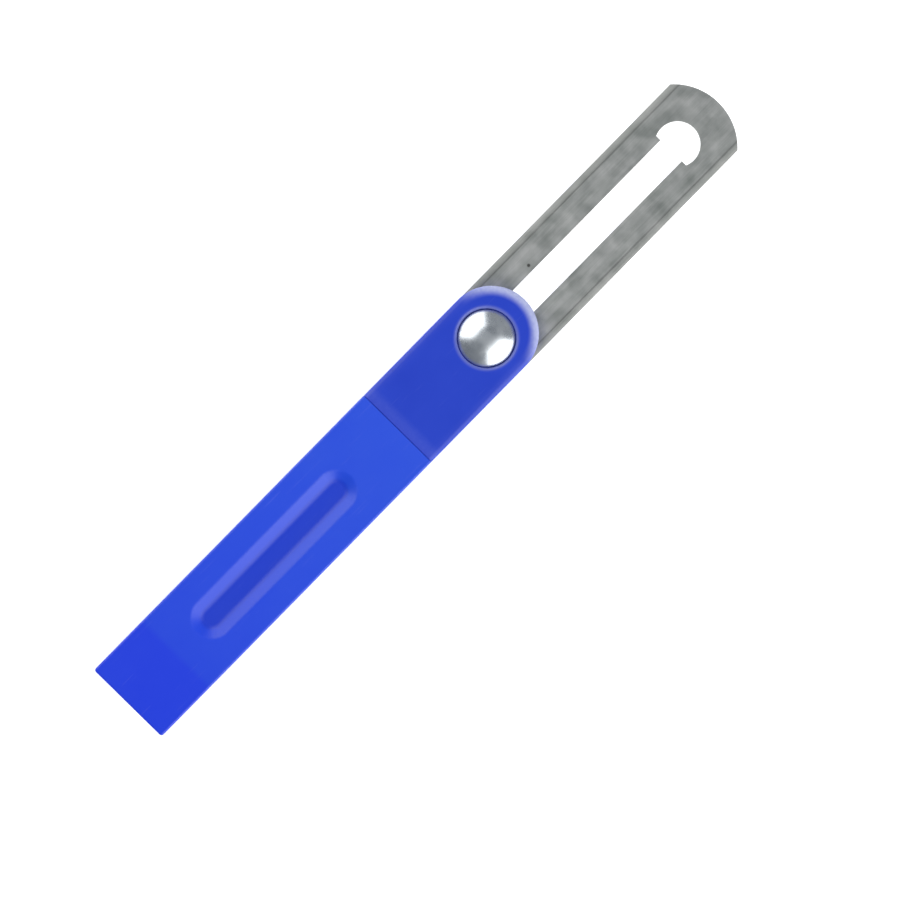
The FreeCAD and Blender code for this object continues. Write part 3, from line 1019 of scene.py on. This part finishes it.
# %% Floor
deselect()
bpy.ops.mesh.primitive_plane_add(size=4.0, location=(0, 0, 0))
floor = bpy.context.object
floor.name = "floor"
floor_finish = Finish("pale_floor")
floor_tone = floor_finish.noise(60 * MM, detail=2.0)
floor_colour = floor_finish.mix(floor_tone, paint(246, 246, 246), paint(250, 250, 250))
floor_finish.shade("Base Color", floor_colour)
floor_finish.shade("Roughness", 0.9)
floor_finish.shade("Specular IOR Level", 0.1)
floor_finish.shade("Emission Color", (1, 1, 1, 1))
floor_finish.shade("Emission Strength", 0.42)
floor_finish.dress(floor)
floor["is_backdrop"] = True


# %% Lights
PANEL_AWAY = 0.45              # from the tool to each standing panel
PANEL_WIDTH = 0.80
PANEL_LOW, PANEL_HIGH = 0.06, 0.92


def panel(name, at, size, tilt, radiance):
    """A soft panel of even brightness. Its power grows with its area."""
    bpy.ops.object.light_add(type="AREA", location=at, rotation=tilt)
    lamp = bpy.context.object
    lamp.name = name
    lamp.data.shape = "RECTANGLE"
    lamp.data.size, lamp.data.size_y = size
    lamp.data.energy = radiance * math.pi * size[0] * size[1]
    lamp.visible_camera = False
    return lamp


panel_z = (PANEL_LOW + PANEL_HIGH) / 2
panel_size = (PANEL_WIDTH, PANEL_HIGH - PANEL_LOW)
quarter = math.pi / 2
panel("near_panel", (0.02, -PANEL_AWAY, panel_z), panel_size, (quarter, 0, 0), 2.7)
panel("far_panel", (0.02, PANEL_AWAY, panel_z), panel_size, (-quarter, 0, 0), 2.25)
panel("end_panel", (0.6, 0.0, panel_z), panel_size, (quarter, 0, quarter), 0.12)
panel("top_panel", (0.0, 0.0, 1.4), (0.9, 0.9), (0, 0, 0), 0.16)
world = bpy.data.worlds.new("studio")
world.use_nodes = True
world.node_tree.nodes["Background"].inputs["Color"].default_value = (0.22, 0.235, 0.26, 1)
world.node_tree.nodes["Background"].inputs["Strength"].default_value = 1.0
bpy.context.scene.world = world
bpy.context.scene.view_settings.view_transform = "Standard"

# %% Camera
FRAME_WIDTH = 242.0 * MM
CAMERA_HEIGHT = 1.6
VIEW_CENTRE = Vector((-4.2 * MM, -14.0 * MM, mid_z))
TURN = math.radians(-45.5)
camera_data = bpy.data.cameras.new("camera")
camera_data.sensor_width = 36.0
camera_data.lens = camera_data.sensor_width * CAMERA_HEIGHT / FRAME_WIDTH
camera = bpy.data.objects.new("camera", camera_data)
bpy.context.collection.objects.link(camera)
camera.location = VIEW_CENTRE + Vector((0, 0, CAMERA_HEIGHT))
camera.rotation_euler = (0, 0, TURN)
bpy.context.scene.camera = camera

# %% [markdown]
# ## The size of the finished model
#
# The finished model must fill the same box as the CAD model. Both boxes are printed, so
# that they can be compared.

# %% Sizes
def as_list(box):
    """A box's two corners as plain numbers."""
    return [[float(c) for c in corner] for corner in box]


made_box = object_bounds()
for label, box in (("CAD", cad_box), ("made", made_box)):
    print(label, [[round(c / MM, 2) for c in corner] for corner in as_list(box)])
